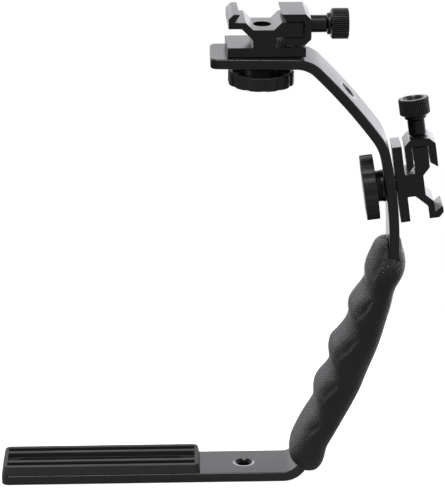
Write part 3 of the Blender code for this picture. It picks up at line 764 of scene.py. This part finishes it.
# Finishes, with their grain read from object coordinates: roughness is from and to, clouds and grain are
# scale and detail, and raised is how strong and how deep the grain is
looks = {
    "barCoat": {
        "dark": (0.0095, 0.0095, 0.010165), "pale": (0.0125, 0.0125, 0.013375), "roughness": (0.23, 0.30),
        "specular": 0.30, "metallic": 0.0, "clouds": (60, 4.0), "grain": (2600, 2.0),
        "raised": (0.1, 0.014)},
    "shoeCoat": {
        "dark": (0.005, 0.005, 0.00535), "pale": (0.008, 0.008, 0.00856), "roughness": (0.17, 0.24),
        "specular": 0.32, "metallic": 0.0, "clouds": (60, 4.0), "grain": (3400, 2.0),
        "raised": (0.1, 0.014)},
    "padRubber": {
        "dark": (0.015, 0.015, 0.0155), "pale": (0.019, 0.019, 0.0197), "roughness": (0.5, 0.62),
        "specular": 0.3, "metallic": 0.0, "clouds": (90, 3.0), "grain": (3200, 2.0),
        "raised": (0.18, 0.05)},
    "knobPlastic": {
        "dark": (0.0135, 0.0135, 0.014445), "pale": (0.0175, 0.0175, 0.018725), "roughness": (0.25, 0.33),
        "specular": 0.38, "metallic": 0.0, "clouds": (150, 3.0), "grain": (2200, 2.0),
        "raised": (0.2, 0.04)},
    "wheelPlastic": {
        "dark": (0.02, 0.02, 0.0214), "pale": (0.024, 0.024, 0.02568), "roughness": (0.30, 0.38),
        "specular": 0.08, "metallic": 0.0, "clouds": (150, 3.0), "grain": (2200, 2.0),
        "raised": (0.2, 0.04)},
    "darkSteel": {
        "dark": (0.028, 0.028, 0.030), "pale": (0.045, 0.045, 0.048), "roughness": (0.28, 0.40),
        "specular": 0.5, "metallic": 1.0, "clouds": (200, 3.0), "grain": (1500, 3.0, (1, 1, 4)),
        "raised": (0.1, 0.02)},
}
# The grip's leather: cells with sunk borders over a softer swell
leatherLook = {
    "dark": (0.011, 0.011, 0.0115), "pale": (0.0155, 0.0155, 0.0162), "roughness": (0.46, 0.25),
    "specular": 0.17, "clouds": (70, 3.0), "swell": (850, 2.0), "swellRaised": (0.8, 0.26),
    "cells": 900, "cellBorder": 0.35, "cellsRaised": (1.0, 0.15),
}
# Painted highlight round the tapped holes, drawn as a pale shiny metal ring by its reach from each hole's
# axis, and strongest on its front half
paintedRimGlintSize = {
    "inner": 3.5, "outer": 4.35, "soft": 0.15, "depth": 5.0, "glintFrom": 1.5, "glintTo": -0.5,
    "leastGlint": 0.15, "colour": (0.30, 0.30, 0.31), "shine": 0.30,
}


def startFinish(name):
    finish = bpy.data.materials.new(name)
    finish.use_nodes = True
    tree = finish.node_tree
    place = tree.nodes.new("ShaderNodeTexCoord").outputs["Object"]
    return finish, tree, tree.nodes["Principled BSDF"], place


def addNoise(tree, place, scale, detail, stretch=(1, 1, 1)):
    spread = tree.nodes.new("ShaderNodeMapping")
    spread.inputs["Scale"].default_value = stretch
    noise = tree.nodes.new("ShaderNodeTexNoise")
    noise.inputs["Scale"].default_value = scale
    noise.inputs["Detail"].default_value = detail
    tree.links.new(place, spread.inputs["Vector"])
    tree.links.new(spread.outputs["Vector"], noise.inputs["Vector"])
    return noise.outputs["Fac"]


def spreadRange(tree, source, low, high, start=0.3, end=0.7):
    spread = tree.nodes.new("ShaderNodeMapRange")
    spread.inputs["From Min"].default_value = start
    spread.inputs["From Max"].default_value = end
    spread.inputs["To Min"].default_value = low
    spread.inputs["To Max"].default_value = high
    tree.links.new(source, spread.inputs["Value"])
    return spread.outputs["Result"]


def combine(tree, operation, parts):
    # one value from several, pair by pair
    whole = parts[0]
    for part in parts[1:]:
        pair = tree.nodes.new("ShaderNodeMath")
        pair.operation = operation
        tree.links.new(whole, pair.inputs[0])
        tree.links.new(part, pair.inputs[1])
        whole = pair.outputs["Value"]
    return whole


def mixBy(tree, source, first, second, kind="FLOAT"):
    # from the first to the second, each a socket or a plain value
    mix = tree.nodes.new("ShaderNodeMix")
    mix.data_type = kind
    tree.links.new(source, mix.inputs["Factor"])
    for end, value in (("A", first), ("B", second)):
        if isinstance(value, bpy.types.NodeSocket):
            tree.links.new(value, mix.inputs[end])
        else:
            mix.inputs[end].default_value = value
    return mix.outputs["Result"]


def tintBy(tree, source, dark, pale, target):
    tree.links.new(mixBy(tree, source, (*dark, 1), (*pale, 1), "RGBA"), target)


def raiseGrain(tree, shader, source, strength, depth, under=None):
    bump = tree.nodes.new("ShaderNodeBump")
    bump.inputs["Strength"].default_value = strength
    bump.inputs["Distance"].default_value = depth * mm
    tree.links.new(source, bump.inputs["Height"])
    if under:
        tree.links.new(under, bump.inputs["Normal"])
    tree.links.new(bump.outputs["Normal"], shader.inputs["Normal"])
    return bump.outputs["Normal"]


def makeFinish(name):
    # cloudy shade under a fine raised grain; a coat's gloss follows the clouds, and steel's its marks
    look = looks[name]
    finish, tree, shader, place = startFinish(name)
    grain = addNoise(tree, place, *look["grain"])
    clouds = addNoise(tree, place, *look["clouds"])
    tintBy(tree, clouds, look["dark"], look["pale"], shader.inputs["Base Color"])
    uneven = grain if look["metallic"] else clouds
    tree.links.new(spreadRange(tree, uneven, *look["roughness"]), shader.inputs["Roughness"])
    shader.inputs["Metallic"].default_value = look["metallic"]
    shader.inputs["Specular IOR Level"].default_value = look["specular"]
    raiseGrain(tree, shader, grain, *look["raised"])
    return finish


def makeLeather(name):
    finish, tree, shader, place = startFinish(name)
    cells = tree.nodes.new("ShaderNodeTexVoronoi")
    cells.feature = "DISTANCE_TO_EDGE"
    cells.inputs["Scale"].default_value = leatherLook["cells"]
    tree.links.new(place, cells.inputs["Vector"])
    pebble = spreadRange(tree, cells.outputs["Distance"], 0, 1, 0.0, leatherLook["cellBorder"])
    swell = addNoise(tree, place, *leatherLook["swell"])
    clouds = addNoise(tree, place, *leatherLook["clouds"])
    tintBy(tree, clouds, leatherLook["dark"], leatherLook["pale"], shader.inputs["Base Color"])
    tree.links.new(spreadRange(tree, pebble, *leatherLook["roughness"], 0, 1), shader.inputs["Roughness"])
    shader.inputs["Specular IOR Level"].default_value = leatherLook["specular"]
    under = raiseGrain(tree, shader, swell, *leatherLook["swellRaised"])
    raiseGrain(tree, shader, pebble, *leatherLook["cellsRaised"], under)
    return finish


def paintedRimGlintMask(tree, place, station):
    # the hole's own frame, then a painted highlight ring by distance, kept near the bar and strongest on
    # the front half
    point, heading = barSpot(station)
    local = tree.nodes.new("ShaderNodeMapping")
    local.vector_type = "TEXTURE"
    local.inputs["Location"].default_value = point * mm
    local.inputs["Rotation"].default_value = (0, -heading, 0)
    tree.links.new(place, local.inputs["Vector"])
    flat = tree.nodes.new("ShaderNodeMapping")
    flat.inputs["Scale"].default_value = (1, 1, 0)
    tree.links.new(local.outputs["Vector"], flat.inputs["Vector"])
    reach = tree.nodes.new("ShaderNodeVectorMath")
    reach.operation = "LENGTH"
    tree.links.new(flat.outputs["Vector"], reach.inputs[0])
    split = tree.nodes.new("ShaderNodeSeparateXYZ")
    tree.links.new(local.outputs["Vector"], split.inputs["Vector"])
    inner, outer, soft, depth = (paintedRimGlintSize[size] * mm for size in ("inner", "outer", "soft", "depth"))
    glintFrom, glintTo = paintedRimGlintSize["glintFrom"] * mm, paintedRimGlintSize["glintTo"] * mm
    distance, across, height = reach.outputs["Value"], split.outputs["Y"], split.outputs["Z"]
    return combine(tree, "MULTIPLY", [
        spreadRange(tree, distance, 0, 1, inner - soft, inner),
        spreadRange(tree, distance, 1, 0, outer, outer + soft),
        spreadRange(tree, height, 0, 1, -depth - soft, -depth),
        spreadRange(tree, height, 1, 0, depth, depth + soft),
        spreadRange(tree, across, 1, paintedRimGlintSize["leastGlint"], glintTo, glintFrom)])


def paintRimGlints(finish, stations):
    # inside the rings the coat's colour and gloss give way to pale shiny metal, a painted highlight
    tree = finish.node_tree
    shader = tree.nodes["Principled BSDF"]
    place = tree.nodes.new("ShaderNodeTexCoord").outputs["Object"]
    mask = combine(tree, "MAXIMUM", [paintedRimGlintMask(tree, place, station) for station in stations])
    colour, gloss = shader.inputs["Base Color"], shader.inputs["Roughness"]
    glintColour = (*paintedRimGlintSize["colour"], 1)
    tree.links.new(mixBy(tree, mask, colour.links[0].from_socket, glintColour, "RGBA"), colour)
    tree.links.new(mixBy(tree, mask, gloss.links[0].from_socket, paintedRimGlintSize["shine"]), gloss)
    tree.links.new(mask, shader.inputs["Metallic"])


finishes = {name: makeFinish(name) for name in looks}
finishes["gripLeather"] = makeLeather("gripLeather")
# painted highlight rings round the two tapped holes
paintRimGlints(finishes["barCoat"], (-barSize["baseRight"], barSize["armHole"]))
for piece, node, body, slot, finish in pieces:
    piece.data.materials.clear()
    piece.data.materials.append(finishes[finish])
    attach(piece, body)
    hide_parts(node)
print("finishes on, pieces riding")


# Studio: pale floor, soft room, lamps and the camera at the photo's place. Each span is where a shade of
# the room starts and ends, and lamps are name, spot, width, height and watts
studio = {
    "floorReach": 340, "floorGap": 0.2, "floorShade": 0.5, "floorRoughness": 0.9, "floorLift": 0.85,
    "frontGlow": 0.4, "backGlow": 1.95, "backSpan": (0.2, 0.75), "topGlow": 0.35, "topSpan": (0.4, 0.85),
    "leftShade": 0.85, "leftSpan": (-0.22, -0.06), "lowSpan": (-0.16, -0.02),
    "roomTint": (1.0, 0.99, 1.035),
    "lamps": (("topLamp", (-100, -340, 1150), 350, 350, 10.0),
              ("leftLamp", (-1200, 50, 420), 200, 400, 4.0),
              ("rightLamp", (1150, 150, 500), 300, 600, 8.0)),
    "lampAim": (0, 0, 100),
    "cameraSpot": (-25.45, -1148.1, 525.0), "pitch": 20.365, "yaw": 0.878, "roll": -0.4896, "lens": 227.53,
    "sensor": 36, "clip": (50, 20000),
}


def makeFloor():
    bpy.ops.object.select_all(action="DESELECT")
    bpy.ops.mesh.primitive_plane_add(size=studio["floorReach"] * mm,
                                     location=(0, 0, cadLow.z - studio["floorGap"] * mm))
    floor = nameIt("studioFloor")
    finish = bpy.data.materials.new("paleFloor")
    finish.use_nodes = True
    tree = finish.node_tree
    shader, shade = tree.nodes["Principled BSDF"], studio["floorShade"]
    shader.inputs["Base Color"].default_value = (shade, shade, shade, 1)
    shader.inputs["Roughness"].default_value = studio["floorRoughness"]
    shader.inputs["Emission Color"].default_value = (1, 1, 1, 1)
    seen = tree.nodes.new("ShaderNodeLightPath").outputs["Is Camera Ray"]
    lift = spreadRange(tree, seen, 0, studio["floorLift"], 0, 1)
    tree.links.new(lift, shader.inputs["Emission Strength"])
    floor.data.materials.append(finish)


def makeRoom():
    room = bpy.data.worlds.new("softRoom")
    room.use_nodes = True
    bpy.context.scene.world = room
    tree = room.node_tree
    ground = tree.nodes["Background"]
    split = tree.nodes.new("ShaderNodeSeparateXYZ")
    tree.links.new(tree.nodes.new("ShaderNodeTexCoord").outputs["Generated"], split.inputs["Vector"])
    across, behind, above = (split.outputs[axis] for axis in "XYZ")
    glow = spreadRange(tree, behind, studio["frontGlow"], studio["backGlow"], *studio["backSpan"])
    overhead = spreadRange(tree, above, 0, 1, *studio["topSpan"])
    # the backdrop is darker low on the left
    corner = combine(tree, "MULTIPLY", [spreadRange(tree, across, 1, 0, *studio["leftSpan"]),
                                        spreadRange(tree, above, 1, 0, *studio["lowSpan"])])
    shade = spreadRange(tree, corner, 1, 1 - studio["leftShade"], 0, 1)
    lit = mixBy(tree, overhead, combine(tree, "MULTIPLY", [glow, shade]), studio["topGlow"])
    # what the camera sees of the room is plain white
    rays = tree.nodes.new("ShaderNodeLightPath")
    white = combine(tree, "MAXIMUM", [rays.outputs["Is Camera Ray"], rays.outputs["Is Transmission Ray"]])
    tree.links.new(mixBy(tree, white, lit, 1), ground.inputs["Strength"])
    tintBy(tree, white, studio["roomTint"], (1, 1, 1), ground.inputs["Color"])


def hangLamps():
    for name, spot, width, height, power in studio["lamps"]:
        spot = Vector(spot) * mm
        bpy.ops.object.light_add(type="AREA", location=spot)
        lamp = bpy.context.object
        lamp.name = lamp.data.name = name
        lamp.data.shape = "RECTANGLE"
        lamp.data.size, lamp.data.size_y = width * mm, height * mm
        lamp.data.energy = power
        lamp.rotation_euler = (Vector(studio["lampAim"]) * mm - spot).to_track_quat("-Z", "Y").to_euler()


def placeCamera():
    pitch, yaw, roll = (math.radians(studio[turn]) for turn in ("pitch", "yaw", "roll"))
    ahead = Vector((math.sin(yaw) * math.cos(pitch), math.cos(yaw) * math.cos(pitch), -math.sin(pitch)))
    level = Vector((math.cos(yaw), -math.sin(yaw), 0))
    above = level.cross(ahead)
    right = math.cos(roll) * level + math.sin(roll) * above
    up = math.cos(roll) * above - math.sin(roll) * level
    bpy.ops.object.camera_add()
    camera = bpy.context.object
    camera.name = camera.data.name = "photoCamera"
    place = Matrix((right, up, -ahead)).transposed().to_4x4()
    place.translation = Vector(studio["cameraSpot"]) * mm
    camera.matrix_world = place
    camera.data.lens = studio["lens"]
    camera.data.sensor_width = studio["sensor"]
    camera.data.sensor_fit = "AUTO"
    camera.data.clip_start, camera.data.clip_end = (reach * mm for reach in studio["clip"])
    bpy.context.scene.camera = camera


makeFloor()
makeRoom()
hangLamps()
placeCamera()
bpy.context.scene.view_settings.view_transform = "Standard"
print("studio ready")
